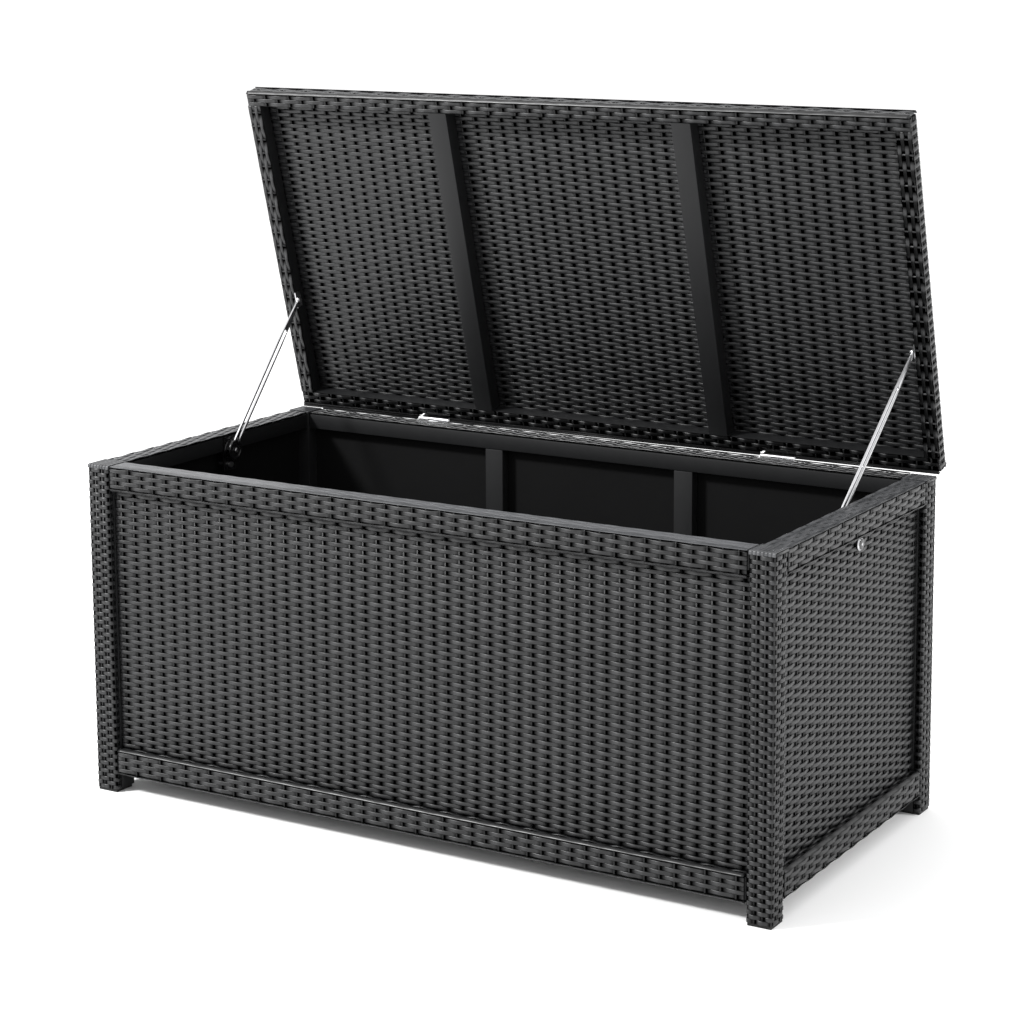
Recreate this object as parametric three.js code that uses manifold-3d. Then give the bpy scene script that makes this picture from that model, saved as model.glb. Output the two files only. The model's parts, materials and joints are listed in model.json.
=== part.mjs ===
// Woven deck storage box with a hinged lid and two sliding lid stays.
// Millimetres, +Z up. X runs along the box, the front faces -Y, and the lid is hinged along the
// rear top edge. The lid is drawn in its open position, leaning a little forward of upright.
import * as THREE from "three";
import { mergeVertices } from "three/addons/utils/BufferGeometryUtils.js";
import Module from "manifold-3d";

const wasm = await Module();
wasm.setup();

// Overall body.
const BOX_LENGTH = 1215;
const BOX_DEPTH = 582;
const BOX_HEIGHT = 540;
const POST = 43;
const GLIDE_HEIGHT = 4;
const GLIDE_INSET = 3;
const FIT = 0.3;

// Rails: a woven cladding round a steel tube. The top rail's tube is shallower than its outer face,
// and the wall panel runs up behind that face to the tube.
const RAIL_DEPTH = 40;
const TOP_RAIL_HEIGHT = 42;
const BOTTOM_RAIL_HEIGHT = 44;
const LEG_HEIGHT = 30;
const CLADDING = 5;
const LONG_SEAM = 2.5;
const REAR_SEAM = 2;
const STEEL_WALL = 1.2;
const TOP_TUBE_HEIGHT = 25;
const BOTTOM_RAIL_TOP = LEG_HEIGHT + BOTTOM_RAIL_HEIGHT;
const TOP_RAIL_BASE = BOX_HEIGHT - TOP_RAIL_HEIGHT;
const TOP_TUBE_BASE = BOX_HEIGHT - CLADDING - FIT - TOP_TUBE_HEIGHT;

// Woven wall panels, black liner boards behind them, and the uprights in front of those.
const PANEL_RECESS = 13;
const PANEL_THICKNESS = 6;
const LINER_THICKNESS = 2;
const LINER_INSET = PANEL_RECESS + PANEL_THICKNESS + FIT;
const UPRIGHT_WIDTH = 34;
const UPRIGHT_INSET = LINER_INSET + LINER_THICKNESS + FIT;
const UPRIGHT_PLACES = [-181, 181];
const FLOOR_THICKNESS = 6;
const FLOOR_BASE = BOTTOM_RAIL_TOP + FIT;

// Lid: a woven cover with skirts that turn in under a steel frame, and two cross bars.
const LID_OPEN = THREE.MathUtils.degToRad(75);
const LID_OVERHANG = 3;
const LID_GAP = 1;
const LID_THICKNESS = 32;
const LID_SKIN = 5;
const LID_TUBE = 20;
const LID_STEEL_WALL = 1;
const LID_LENGTH = BOX_LENGTH + 2 * LID_OVERHANG;
const LID_DEPTH = BOX_DEPTH + 5;
const LID_BORDER = LID_SKIN + FIT + LID_TUBE;
const CROSS_BAR_WIDTH = 34;
const CROSS_BAR_RECESS = 1;
const CROSS_BAR_PLACES = [-225, 225];

// Hinges on the rear faces. The pin is just behind the box, level with the gap under the lid, and
// straight below the lid's rear face.
const HINGE_PLACES = { left: -330, right: 330 };
const HINGE_LENGTH = 60;
const HINGE_LEAF = 1.5;
const HINGE_LEAF_REACH = 26;
const KNUCKLE_RADIUS = 3.4;
const KNUCKLE_HALF = 10;
const KNUCKLE_BORE = 1.7;
const KNUCKLE_NOTCH = 4.2;
const PIN_RADIUS = 1.6;
const PIN_Y = BOX_DEPTH / 2 + 4.2;
const PIN_Z = BOX_HEIGHT + LID_GAP / 2;

// Lid stays. A slotted arm slides over a stud on the side wall, inside a swivelling drum.
// Insets are measured inwards from the outer face of the box's end.
const STAY_PIVOT_Y = 22;
const STAY_PIVOT_Z = 512;
const STAY_EYE_FROM_HINGE = 199;
const STAY_EYE_UP = 4;
const STAY_EYE_INSET = 27;
const STAY_ARM_INSET = 49.6;
const ARM_WIDTH = 14;
const ARM_NECK = 6;
const ARM_THICKNESS = 3;
const ARM_TAPER = 94;
const ARM_EYE_RADIUS = 6;
const ARM_SLIDE = 250;
const DRUM_RADIUS = 17;
const DRUM_THICKNESS = 14;
const STUD_RADIUS = 3;
const STUD_RUNNING = 0.08;
const PLATE_INSET = RAIL_DEPTH + FIT;
const PLATE_THICKNESS = 2;
const PLATE_WIDTH = 30;
const PLATE_TOP = 534;
const PLATE_BASE = 476;
const BOLT_Z = 486;
const BOLT_CAP_RADIUS = 10.5;
const BOLT_SOCKET_RADIUS = 4.2;
const BRACKET_THICKNESS = 2;

// The origin is the middle of the whole object's footprint box, lid included.
const REAR_REACH = rotateAboutPin(PIN_Y, BOX_HEIGHT + LID_GAP + LID_THICKNESS).y;
const SHIFT_Y = (BOX_DEPTH / 2 - REAR_REACH) / 2;

const WICKER = new THREE.MeshStandardMaterial({ color: 0x3b3c3e, roughness: 0.55, metalness: 0 });
const STEEL = new THREE.MeshStandardMaterial({ color: 0x232426, roughness: 0.5, metalness: 0.2 });
const LINER = new THREE.MeshStandardMaterial({ color: 0x121213, roughness: 0.8, metalness: 0 });
const BLACK = new THREE.MeshStandardMaterial({ color: 0x0d0d0e, roughness: 0.45, metalness: 0 });
const ZINC = new THREE.MeshStandardMaterial({ color: 0xc9cbcd, roughness: 0.3, metalness: 1 });

// Where a point of the closed lid goes when the lid is open.
function rotateAboutPin(y, z) {
  const away = y - PIN_Y;
  const above = z - PIN_Z;
  return {
    y: PIN_Y + away * Math.cos(LID_OPEN) + above * Math.sin(LID_OPEN),
    z: PIN_Z - away * Math.sin(LID_OPEN) + above * Math.cos(LID_OPEN),
  };
}

function mesh(name, geometry, material) {
  const made = new THREE.Mesh(geometry, material);
  made.name = name;
  return made;
}

function block(x0, x1, y0, y1, z0, z1) {
  const geometry = new THREE.BoxGeometry(x1 - x0, y1 - y0, z1 - z0);
  return geometry.translate((x0 + x1) / 2, (y0 + y1) / 2, (z0 + z1) / 2);
}

// Extrudes a shape drawn in (x, y) upwards from z0 to z1.
function extrudeUp(shape, z0, z1) {
  const geometry = new THREE.ExtrudeGeometry(shape, { depth: z1 - z0, bevelEnabled: false });
  return geometry.translate(0, 0, z0);
}

// Extrudes a shape drawn in (x, z) along Y from y0 to y1.
function extrudeAlongY(shape, y0, y1) {
  const geometry = new THREE.ExtrudeGeometry(shape, { depth: y1 - y0, bevelEnabled: false });
  return geometry.rotateX(Math.PI / 2).translate(0, y1, 0);
}

// Extrudes a shape drawn in (y, z) along +X from x0 to x1.
function extrudeAlongX(shape, x0, x1) {
  const geometry = new THREE.ExtrudeGeometry(shape, { depth: x1 - x0, bevelEnabled: false, curveSegments: 12 });
  const turn = new THREE.Matrix4().makeBasis(
    new THREE.Vector3(0, 1, 0),
    new THREE.Vector3(0, 0, 1),
    new THREE.Vector3(1, 0, 0),
  );
  return geometry.applyMatrix4(turn).translate(x0, 0, 0);
}

function cylinderAlongX(radius, x0, x1, sides = 24) {
  const geometry = new THREE.CylinderGeometry(radius, radius, x1 - x0, sides);
  return geometry.rotateZ(Math.PI / 2).translate((x0 + x1) / 2, 0, 0);
}

function rectangle(u0, u1, v0, v1) {
  return [[u0, v0], [u1, v0], [u1, v1], [u0, v1]].map(([u, v]) => new THREE.Vector2(u, v));
}

// A rectangular tube's section: its outside and, a wall thickness in, its open inside.
function tubeSection(u0, u1, v0, v1, wall) {
  const shape = new THREE.Shape(rectangle(u0, u1, v0, v1));
  shape.holes.push(new THREE.Path(rectangle(u0 + wall, u1 - wall, v0 + wall, v1 - wall)));
  return shape;
}

function toSolid(geometry) {
  const bare = geometry.clone();
  bare.deleteAttribute("normal");
  bare.deleteAttribute("uv");
  const merged = mergeVertices(bare, 1e-4);
  return new wasm.Manifold(new wasm.Mesh({
    numProp: 3,
    vertProperties: new Float32Array(merged.attributes.position.array),
    triVerts: new Uint32Array(merged.index.array),
  }));
}

function toGeometry(solid) {
  const result = solid.getMesh();
  const geometry = new THREE.BufferGeometry();
  geometry.setAttribute("position", new THREE.BufferAttribute(new Float32Array(result.vertProperties), 3));
  geometry.setIndex(new THREE.BufferAttribute(new Uint32Array(result.triVerts), 1));
  geometry.computeVertexNormals();
  return geometry;
}

function cut(geometry, ...tools) {
  let solid = toSolid(geometry);
  for (const tool of tools) solid = solid.subtract(toSolid(tool));
  return toGeometry(solid);
}

function join(...geometries) {
  let solid = toSolid(geometries[0]);
  for (const next of geometries.slice(1)) solid = solid.add(toSolid(next));
  return toGeometry(solid);
}

// The four sides. In a side's own frame X runs along it, Y runs inwards from its outer face.
const SIDES = [
  { name: "front", turn: 0, length: BOX_LENGTH, place: [0, -BOX_DEPTH / 2], seams: [LONG_SEAM, LONG_SEAM] },
  { name: "right", turn: 90, length: BOX_DEPTH, place: [BOX_LENGTH / 2, 0], seams: [FIT, REAR_SEAM] },
  { name: "rear", turn: 180, length: BOX_LENGTH, place: [0, BOX_DEPTH / 2], seams: [LONG_SEAM, LONG_SEAM] },
  { name: "left", turn: 270, length: BOX_DEPTH, place: [-BOX_LENGTH / 2, 0], seams: [REAR_SEAM, FIT] },
];

// The woven cladding of a rail: a C section that is open towards the inside of the box. Its lower
// arm reaches in by lip.
function claddingSection(base, top, lip) {
  return new THREE.Shape([
    new THREE.Vector2(0, base),
    new THREE.Vector2(lip, base),
    new THREE.Vector2(lip, base + CLADDING),
    new THREE.Vector2(CLADDING, base + CLADDING),
    new THREE.Vector2(CLADDING, top - CLADDING),
    new THREE.Vector2(RAIL_DEPTH, top - CLADDING),
    new THREE.Vector2(RAIL_DEPTH, top),
    new THREE.Vector2(0, top),
  ]);
}

function makeRail(side, level, base, top, lip, tubeBase) {
  const end = side.length / 2 - POST;
  const cladding = extrudeAlongX(claddingSection(base, top, lip), -end + side.seams[0], end - side.seams[1]);
  const inner = CLADDING + FIT;
  const section = tubeSection(inner, RAIL_DEPTH, tubeBase, top - inner, STEEL_WALL);
  const tube = extrudeAlongX(section, -end + FIT, end - FIT);
  return [
    mesh(`${side.name}_${level}_rail_wicker`, cladding, WICKER),
    mesh(`${side.name}_${level}_rail_steel`, tube, STEEL),
  ];
}

function boltHole(x, y0, y1) {
  const geometry = new THREE.CylinderGeometry(STUD_RADIUS + FIT, STUD_RADIUS + FIT, y1 - y0, 16);
  return geometry.translate(x, (y0 + y1) / 2, BOLT_Z);
}

function makeWall(side) {
  const end = side.length / 2 - POST - FIT;
  const base = BOTTOM_RAIL_TOP + FIT;
  const top = TOP_TUBE_BASE - FIT;
  const panelBack = PANEL_RECESS + PANEL_THICKNESS;
  const linerBack = LINER_INSET + LINER_THICKNESS;
  let panel = block(-end, end, PANEL_RECESS, panelBack, base, top);
  let liner = block(-end, end, LINER_INSET, linerBack, FLOOR_BASE + FLOOR_THICKNESS + FIT, top);
  if (side.length === BOX_DEPTH) {
    const boltX = side.name === "right" ? STAY_PIVOT_Y : -STAY_PIVOT_Y;
    panel = cut(panel, boltHole(boltX, 0, RAIL_DEPTH));
    liner = cut(liner, boltHole(boltX, 0, RAIL_DEPTH));
  }
  const pieces = [mesh(`${side.name}_panel`, panel, WICKER), mesh(`${side.name}_liner`, liner, LINER)];
  if (side.length === BOX_LENGTH) {
    UPRIGHT_PLACES.forEach((x, index) => {
      const half = UPRIGHT_WIDTH / 2;
      const section = tubeSection(x - half, x + half, UPRIGHT_INSET, RAIL_DEPTH, STEEL_WALL);
      const upright = extrudeUp(section, base, top);
      pieces.push(mesh(`${side.name}_upright_${index + 1}`, upright, STEEL));
    });
  }
  return pieces;
}

function makeSide(side) {
  const group = new THREE.Group();
  group.position.set(side.place[0], side.place[1], 0);
  group.rotation.z = THREE.MathUtils.degToRad(side.turn);
  group.add(...makeRail(side, "top", TOP_RAIL_BASE, BOX_HEIGHT, PANEL_RECESS - FIT, TOP_TUBE_BASE));
  group.add(...makeRail(side, "bottom", LEG_HEIGHT, BOTTOM_RAIL_TOP, RAIL_DEPTH, LEG_HEIGHT + CLADDING + FIT));
  group.add(...makeWall(side));
  return group;
}

// A woven post is a square tube, closed at the top, standing on a plastic glide.
function makePost(name, signX, signY) {
  const half = POST / 2;
  const inner = half - CLADDING;
  const outside = block(-half, half, -half, half, GLIDE_HEIGHT + FIT, BOX_HEIGHT);
  const inside = block(-inner, inner, -inner, inner, 0, BOX_HEIGHT - CLADDING);
  const post = mesh(`${name}_post`, cut(outside, inside), WICKER);
  const reach = half - GLIDE_INSET;
  const glide = mesh(`${name}_glide`, block(-reach, reach, -reach, reach, 0, GLIDE_HEIGHT), BLACK);
  const group = new THREE.Group();
  group.position.set(signX * (BOX_LENGTH / 2 - half), signY * (BOX_DEPTH / 2 - half), 0);
  group.add(post, glide);
  return group;
}

// The floor board lies on the bottom rails and is notched round the posts and uprights.
function makeFloor() {
  const endX = BOX_LENGTH / 2 - LINER_INSET;
  const endY = BOX_DEPTH / 2 - LINER_INSET;
  const top = FLOOR_BASE + FLOOR_THICKNESS;
  const notches = [];
  for (const signX of [-1, 1]) {
    for (const signY of [-1, 1]) {
      const cornerX = signX * (BOX_LENGTH / 2 - POST - FIT);
      const cornerY = signY * (BOX_DEPTH / 2 - POST - FIT);
      notches.push(block(
        Math.min(cornerX, signX * BOX_LENGTH), Math.max(cornerX, signX * BOX_LENGTH),
        Math.min(cornerY, signY * BOX_DEPTH), Math.max(cornerY, signY * BOX_DEPTH),
        0, BOX_HEIGHT,
      ));
    }
  }
  for (const x of UPRIGHT_PLACES) {
    for (const signY of [-1, 1]) {
      const half = UPRIGHT_WIDTH / 2 + FIT;
      const innerY = signY * (BOX_DEPTH / 2 - RAIL_DEPTH - FIT);
      notches.push(block(
        x - half, x + half,
        Math.min(innerY, signY * BOX_DEPTH), Math.max(innerY, signY * BOX_DEPTH),
        0, BOX_HEIGHT,
      ));
    }
  }
  return mesh("floor_board", cut(block(-endX, endX, -endY, endY, FLOOR_BASE, top), ...notches), LINER);
}

// One hinge leaf about its pin, which lies along X at the origin. Up is 1 for the lid's leaf, and
// near is the Y of the leaf's mounting face.
function hingeLeaf(up, near, spans) {
  const start = KNUCKLE_RADIUS + 0.4;
  const half = HINGE_LENGTH / 2;
  const low = Math.min(up * start, up * HINGE_LEAF_REACH);
  const high = Math.max(up * start, up * HINGE_LEAF_REACH);
  const pieces = [block(-half, half, near, near + HINGE_LEAF, low, high)];
  for (const [x0, x1] of spans) {
    pieces.push(block(x0, x1, near, near + HINGE_LEAF, Math.min(0, up * (start + 1)), Math.max(0, up * (start + 1))));
    pieces.push(cylinderAlongX(KNUCKLE_RADIUS, x0, x1));
  }
  return cut(join(...pieces), cylinderAlongX(KNUCKLE_BORE, -half - 1, half + 1));
}

function makeBoxHinge(name, x) {
  const half = HINGE_LENGTH / 2;
  const spans = [[-half, -KNUCKLE_HALF - FIT], [KNUCKLE_HALF + FIT, half]];
  const leaf = mesh(`${name}_hinge_box_leaf`, hingeLeaf(-1, BOX_DEPTH / 2 - PIN_Y + FIT, spans), ZINC);
  const pin = mesh(`${name}_hinge_pin`, cylinderAlongX(PIN_RADIUS, -half, half), ZINC);
  const group = new THREE.Group();
  group.position.set(x, PIN_Y, PIN_Z);
  group.add(leaf, pin);
  return group;
}

function makeLidHinge(name, x) {
  const leaf = mesh(`${name}_hinge_lid_leaf`, hingeLeaf(1, FIT, [[-KNUCKLE_HALF, KNUCKLE_HALF]]), ZINC);
  leaf.position.x = x;
  return leaf;
}

// The woven cover is a shallow tray, open below, whose skirts turn in under the frame. It is notched
// round the knuckles of the hinges.
function makeLidCover(rear, front, base) {
  const half = LID_LENGTH / 2;
  const shell = block(-half, half, front, rear, base, base + LID_THICKNESS);
  const hollow = block(
    -half + LID_SKIN, half - LID_SKIN,
    front + LID_SKIN, rear - LID_SKIN,
    base + LID_SKIN, base + LID_THICKNESS - LID_SKIN,
  );
  const opening = block(
    -half + LID_BORDER, half - LID_BORDER,
    front + LID_BORDER, rear - LID_BORDER,
    base - 1, base + LID_SKIN + 1,
  );
  const notches = Object.values(HINGE_PLACES).map((x) => {
    const reach = HINGE_LENGTH / 2 + 1;
    return block(x - reach, x + reach, -KNUCKLE_NOTCH, 1, base - 1, KNUCKLE_NOTCH);
  });
  return mesh("lid_cover", cut(shell, hollow, opening, ...notches), WICKER);
}

// The lid's pieces, in a frame whose origin is the hinge pin and whose lid is closed.
function makeLid() {
  const rear = 0;
  const front = -LID_DEPTH;
  const base = BOX_HEIGHT + LID_GAP - PIN_Z;
  const low = base + LID_SKIN + FIT;
  const high = base + LID_THICKNESS - LID_SKIN - FIT;
  const half = LID_LENGTH / 2 - LID_SKIN - FIT;
  const rearTube = rear - LID_SKIN - FIT;
  const frontTube = front + LID_SKIN + FIT;
  const group = new THREE.Group();
  group.add(makeLidCover(rear, front, base));
  const rearSection = tubeSection(rearTube - LID_TUBE, rearTube, low, high, LID_STEEL_WALL);
  const frontSection = tubeSection(frontTube, frontTube + LID_TUBE, low, high, LID_STEEL_WALL);
  group.add(mesh("lid_frame_rear", extrudeAlongX(rearSection, -half, half), STEEL));
  group.add(mesh("lid_frame_front", extrudeAlongX(frontSection, -half, half), STEEL));
  const y0 = front + LID_BORDER + FIT;
  const y1 = rear - LID_BORDER - FIT;
  const leftSection = tubeSection(-half, -half + LID_TUBE, low, high, LID_STEEL_WALL);
  const rightSection = tubeSection(half - LID_TUBE, half, low, high, LID_STEEL_WALL);
  group.add(mesh("lid_frame_left", extrudeAlongY(leftSection, y0, y1), STEEL));
  group.add(mesh("lid_frame_right", extrudeAlongY(rightSection, y0, y1), STEEL));
  CROSS_BAR_PLACES.forEach((x, index) => {
    const reach = CROSS_BAR_WIDTH / 2;
    const section = tubeSection(x - reach, x + reach, base + CROSS_BAR_RECESS, high, LID_STEEL_WALL);
    group.add(mesh(`lid_cross_bar_${index + 1}`, extrudeAlongY(section, y0, y1), STEEL));
  });
  for (const [name, x] of Object.entries(HINGE_PLACES)) group.add(makeLidHinge(name, x));
  for (const side of [-1, 1]) group.add(makeEyeBracket(side, base));
  group.position.set(0, PIN_Y, PIN_Z);
  group.rotation.x = -LID_OPEN;
  return group;
}

// The plate on the lid's end tube beside which a stay's eye swings.
function makeEyeBracket(side, base) {
  const near = LID_LENGTH / 2 - LID_BORDER - FIT;
  const x0 = Math.min(side * near, side * (near - BRACKET_THICKNESS));
  const middle = BOX_DEPTH / 2 - PIN_Y - STAY_EYE_FROM_HINGE;
  const plate = block(x0, x0 + BRACKET_THICKNESS, middle - 14, middle + 14, base + 1, base + 15);
  return mesh(`${sideName(side)}_stay_lid_bracket`, plate, ZINC);
}

function sideName(side) {
  return side < 0 ? "left" : "right";
}

// The stay's eye in the box's frame with the lid open, and the arm's direction from the stud.
const EYE_OPEN = rotateAboutPin(
  BOX_DEPTH / 2 - STAY_EYE_FROM_HINGE,
  BOX_HEIGHT + LID_GAP + STAY_EYE_UP,
);
const ARM_REACH = Math.hypot(EYE_OPEN.y - STAY_PIVOT_Y, EYE_OPEN.z - STAY_PIVOT_Z);
const ARM_ANGLE = Math.atan2(EYE_OPEN.z - STAY_PIVOT_Z, EYE_OPEN.y - STAY_PIVOT_Y);
const ARM_LEAN = Math.atan2(STAY_ARM_INSET - STAY_EYE_INSET, ARM_REACH);
const ARM_LENGTH = ARM_REACH / Math.cos(ARM_LEAN);

// The arm's outline in (y, z): a round foot, straight sides, a taper and a round eye.
function armOutline() {
  const half = ARM_WIDTH / 2;
  const neck = ARM_NECK / 2;
  const shape = new THREE.Shape();
  const neckTop = ARM_LENGTH - ARM_EYE_RADIUS * 0.866;
  shape.absarc(0, 0, half, Math.PI, 2 * Math.PI, false);
  shape.lineTo(half, ARM_LENGTH - ARM_TAPER);
  shape.lineTo(neck, neckTop);
  shape.absarc(0, ARM_LENGTH, ARM_EYE_RADIUS, -Math.PI / 3, Math.PI + Math.PI / 3, false);
  shape.lineTo(-half, ARM_LENGTH - ARM_TAPER);
  shape.closePath();
  return shape;
}

function armSlot() {
  const radius = STUD_RADIUS + 0.4;
  const slot = new THREE.Path();
  slot.absarc(0, 0, radius, Math.PI, 2 * Math.PI, false);
  slot.lineTo(radius, ARM_SLIDE);
  slot.absarc(0, ARM_SLIDE, radius, 0, Math.PI, false);
  slot.closePath();
  return slot;
}

function makeArm(side) {
  const outline = armOutline();
  outline.holes.push(armSlot());
  const half = ARM_THICKNESS / 2;
  return mesh(`${sideName(side)}_stay_arm`, extrudeAlongX(outline, -half, half), ZINC);
}

function makeDrum(side) {
  const half = DRUM_THICKNESS / 2;
  const channelX = ARM_THICKNESS / 2 + 0.4;
  const channelY = ARM_WIDTH / 2 + 0.4;
  const channel = block(-channelX, channelX, -channelY, channelY, -60, 60).rotateY(side * ARM_LEAN);
  const body = cylinderAlongX(DRUM_RADIUS, -half, half, 32);
  const bore = cylinderAlongX(STUD_RADIUS + STUD_RUNNING, -half - 1, half + 1, 16);
  return mesh(`${sideName(side)}_stay_drum`, cut(body, channel, bore), BLACK);
}

// The moving half of a stay: the drum swings, and the arm slides along it with a small lean.
function makeStayMotion(side) {
  const lean = new THREE.Group();
  lean.rotation.y = side * ARM_LEAN;
  lean.add(makeArm(side));
  const swing = new THREE.Group();
  swing.position.set(side * (BOX_LENGTH / 2 - STAY_ARM_INSET), STAY_PIVOT_Y, STAY_PIVOT_Z);
  swing.rotation.x = ARM_ANGLE - Math.PI / 2;
  swing.add(makeDrum(side), lean);
  return swing;
}

// The fixed half of a stay: a wall plate with its stud, and the bolt through the wall below it.
function makeStayBase(side) {
  const wall = side * BOX_LENGTH / 2;
  const inwards = (inset) => wall - side * inset;
  const span = (a, b) => [Math.min(inwards(a), inwards(b)), Math.max(inwards(a), inwards(b))];
  const [plate0, plate1] = span(PLATE_INSET, PLATE_INSET + PLATE_THICKNESS);
  const [stud0, stud1] = span(PLATE_INSET + PLATE_THICKNESS / 2, STAY_ARM_INSET + DRUM_THICKNESS / 2 + 2);
  const [hole0, hole1] = span(PLATE_INSET - 1, PLATE_INSET + PLATE_THICKNESS + 1);
  const halfPlate = PLATE_WIDTH / 2;
  const plate = join(
    block(plate0, plate1, STAY_PIVOT_Y - halfPlate, STAY_PIVOT_Y + halfPlate, PLATE_BASE, PLATE_TOP),
    cylinderAlongX(STUD_RADIUS, stud0, stud1, 16).translate(0, STAY_PIVOT_Y, STAY_PIVOT_Z),
  );
  const hole = cylinderAlongX(STUD_RADIUS + FIT, hole0, hole1, 16).translate(0, STAY_PIVOT_Y, BOLT_Z);
  const name = sideName(side);
  return [
    mesh(`${name}_stay_wall_plate`, cut(plate, hole), BLACK),
    mesh(`${name}_stay_bolt`, makeBolt(side, inwards), ZINC),
  ];
}

// A bolt with a round cup washer outside the woven panel and a nut inside, as one turned solid.
function makeBolt(side, inwards) {
  const capBase = PANEL_RECESS - FIT;
  const nutBase = PLATE_INSET + PLATE_THICKNESS + FIT;
  const profile = [
    [0, capBase - 0.8],
    [BOLT_SOCKET_RADIUS, capBase - 0.8],
    [BOLT_SOCKET_RADIUS + 0.8, capBase - 3],
    [BOLT_SOCKET_RADIUS + 2, capBase - 3.4],
    [BOLT_CAP_RADIUS - 1.6, capBase - 2.6],
    [BOLT_CAP_RADIUS, capBase - 0.8],
    [BOLT_CAP_RADIUS, capBase],
    [STUD_RADIUS, capBase],
    [STUD_RADIUS, nutBase],
    [5, nutBase],
    [5, nutBase + 4],
    [0, nutBase + 4],
  ].map(([radius, inset]) => new THREE.Vector2(radius, inset));
  const geometry = new THREE.LatheGeometry(profile, 24);
  geometry.rotateZ(side * Math.PI / 2);
  return geometry.translate(inwards(0), STAY_PIVOT_Y, BOLT_Z);
}

const group = new THREE.Group();
for (const side of SIDES) group.add(makeSide(side));
group.add(makePost("front_left", -1, -1));
group.add(makePost("front_right", 1, -1));
group.add(makePost("rear_left", -1, 1));
group.add(makePost("rear_right", 1, 1));
group.add(makeFloor());
for (const [name, x] of Object.entries(HINGE_PLACES)) group.add(makeBoxHinge(name, x));
for (const side of [-1, 1]) group.add(...makeStayBase(side), makeStayMotion(side));
group.add(makeLid());
group.position.y = SHIFT_Y;

export default group;
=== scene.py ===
import json
import math

import bmesh
import bpy
import numpy as np
from mathutils import Matrix, Vector
from mathutils.geometry import tessellate_polygon


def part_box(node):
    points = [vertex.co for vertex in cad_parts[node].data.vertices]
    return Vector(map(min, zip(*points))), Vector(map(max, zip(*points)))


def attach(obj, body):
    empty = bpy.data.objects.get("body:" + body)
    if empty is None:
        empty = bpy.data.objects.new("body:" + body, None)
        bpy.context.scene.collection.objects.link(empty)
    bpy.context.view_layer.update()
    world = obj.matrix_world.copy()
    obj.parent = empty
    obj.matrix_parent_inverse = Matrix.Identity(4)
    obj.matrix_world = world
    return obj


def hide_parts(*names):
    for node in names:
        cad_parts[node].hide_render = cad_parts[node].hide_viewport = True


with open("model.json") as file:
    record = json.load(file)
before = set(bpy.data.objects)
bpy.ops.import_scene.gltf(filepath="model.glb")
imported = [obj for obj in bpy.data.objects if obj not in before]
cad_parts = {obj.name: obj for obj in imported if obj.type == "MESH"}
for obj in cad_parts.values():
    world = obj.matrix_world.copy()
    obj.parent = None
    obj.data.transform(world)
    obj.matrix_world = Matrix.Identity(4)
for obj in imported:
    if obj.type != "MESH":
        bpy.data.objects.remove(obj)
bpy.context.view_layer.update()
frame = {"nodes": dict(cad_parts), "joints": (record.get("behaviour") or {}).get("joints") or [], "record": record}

# ---------------------------------------------------------------- sizes, in metres
MM = 0.001

# the weave: weavers wave over and under the stakes, and a flat of 0 to 1 makes a weaver straighter; a
# face points along an axis when its unit normal has more than FACING of it, or UPWARDS on the lid's top
STAKE_PITCH = 24.6 * MM
ROW_PITCH = 6.5 * MM
POST_PITCH = 13.9 * MM
WEAVER_THICK = 1.3 * MM
WEAVER_OVERLAP = 1.16
STAKE_WIDTH = 3.3 * MM
STAKE_THICK = 1.9 * MM
STAKE_STEP = 2.5 * MM
WAVE = (WEAVER_THICK + STAKE_THICK) / 2
CUP = 0.8
STRAIGHT_RISE = 0.86
CREST_GAP = 0.05 * MM
HALF_WEAVE = WAVE + WEAVER_THICK / 2
MIDDLE_INSET = HALF_WEAVE + CREST_GAP
RAIL_INSET = MIDDLE_INSET + 0.2 * MM
END_INSET = 0.75 * MM
PANEL_WAVE = 2.2 * MM
PANEL_INSET = PANEL_WAVE + WEAVER_THICK / 2 + CREST_GAP
SMOOTH_FLAT = 0.85
HALF_FLAT = 0.5
FACING = 0.98
UPWARDS = 0.999
SAMPLES = 6

# the claddings, the posts' caps and the lid's border; STEPS counts the points along a strand
CORNER_RADIUS = 3.2 * MM
CLADDING = 5 * MM
LIP_REACH = 12.7 * MM
LID_BORDER = 25.3 * MM
CAP_DEPTH = 6.5 * MM
CAP_INSET = 1.0 * MM
CAP_RADIUS = 2 * MM
CAP_OVERLAP = 1.03
CAP_STEPS = 24
CAP_GAP = 0.2 * MM
CAP_DROP = 0.1 * MM
RAIL_STAKE_STEPS = 60
RAIL_BINDING_WIDTH = 6.6 * MM
RAIL_BINDING_INSET = 0.6 * MM
HINGE_CLEAR = 2 * MM
FIT = 0.3 * MM
CORE_BEVEL = 1.2 * MM
BAR_BEVEL = 1.6 * MM

# painted light and shade on a strand, kept in its depth attribute: 0 in the open, 1 hidden and in full painted
# shade; painted light above 0 lightens it, below 0 darkens it
# painted shade round each stake: how far it reaches, its least amount on every strand's edges, its amount on the
# part behind a stake, and its shift along the strand past the stake
SHADE_REACH = 9.5 * MM
EDGE_SHADE = 0.6
UNDER_SHADE = 0.82
SHADE_OFFSET = 0.09
# painted shade on the stakes; a painted highlight on the flank before each crest of a float that passes over a
# stake, with painted shade on the rest of that float: its strength, that shade, and the highlight's place and
# spread in stake pitches
STAKE_PAINTED_SHADE = -0.45
FLOAT_PAINTED_HIGHLIGHT = 1.3
FLOAT_SHADE = 0.12
FLOAT_LEAD = 0.24
FLOAT_SPREAD = 0.13
# painted light on flat tops that face up: most on the front rail's, then the side rails' and the posts' caps,
# least on the rear rail's; painted shade on the lid's rear and right lips and its edge strands; painted light on
# the lid's front skirt
TOP_PAINTED_LIGHT = 7.0
REAR_PAINTED_LIGHT = 0.6
CAP_PAINTED_LIGHT = 5.0
LIP_SHADE = -0.6
FRONT_PAINTED_LIGHT = 2.5

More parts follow.
